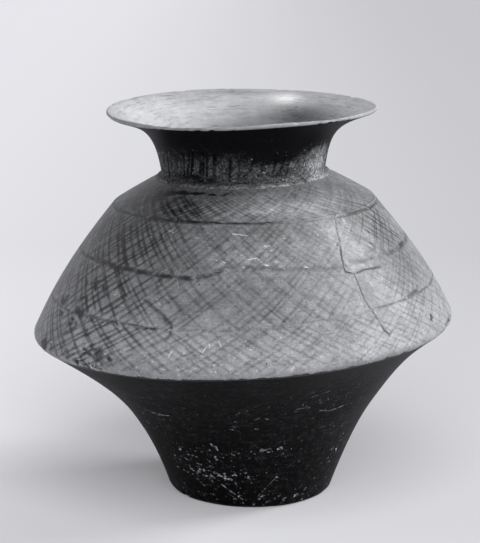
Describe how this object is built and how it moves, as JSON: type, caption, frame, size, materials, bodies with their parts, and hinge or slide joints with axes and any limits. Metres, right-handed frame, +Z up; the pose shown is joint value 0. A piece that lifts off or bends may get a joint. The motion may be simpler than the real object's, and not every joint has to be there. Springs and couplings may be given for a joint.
{
  "type": "pottery jar",
  "caption": "Hand-built burnished pottery jar: flat foot, flaring lower wall, sharp belly edge, lattice-burnished conical shoulder, short neck and wide everted rim.",
  "frame": {"origin": "middle of the foot's flat underside", "axes": "+Z up, square to the underside of the foot; the front of the jar faces -Y and +X is to its right"},
  "size_m": [0.3008, 0.3008, 0.28],
  "materials": {
    "black_burnish": "glossy black burnish over fired clay, with pale chips",
    "grey_burnish": "satin grey clay with a darker burnished lattice",
    "smoked_grey": "smoked grey clay with dark upright burnish strokes",
    "pale_rim": "matt pale grey clay, mottled, dark below the lip"
  },
  "bodies": {
    "root": {"foot_disc": "black_burnish", "lower_wall": "black_burnish", "shoulder_wall": "grey_burnish", "shoulder_sherd_upper": "grey_burnish", "shoulder_sherd_lower": "grey_burnish", "shoulder_top": "grey_burnish", "neck_collar": "smoked_grey", "rim_flange": "pale_rim"}
  },
  "joints": []
}
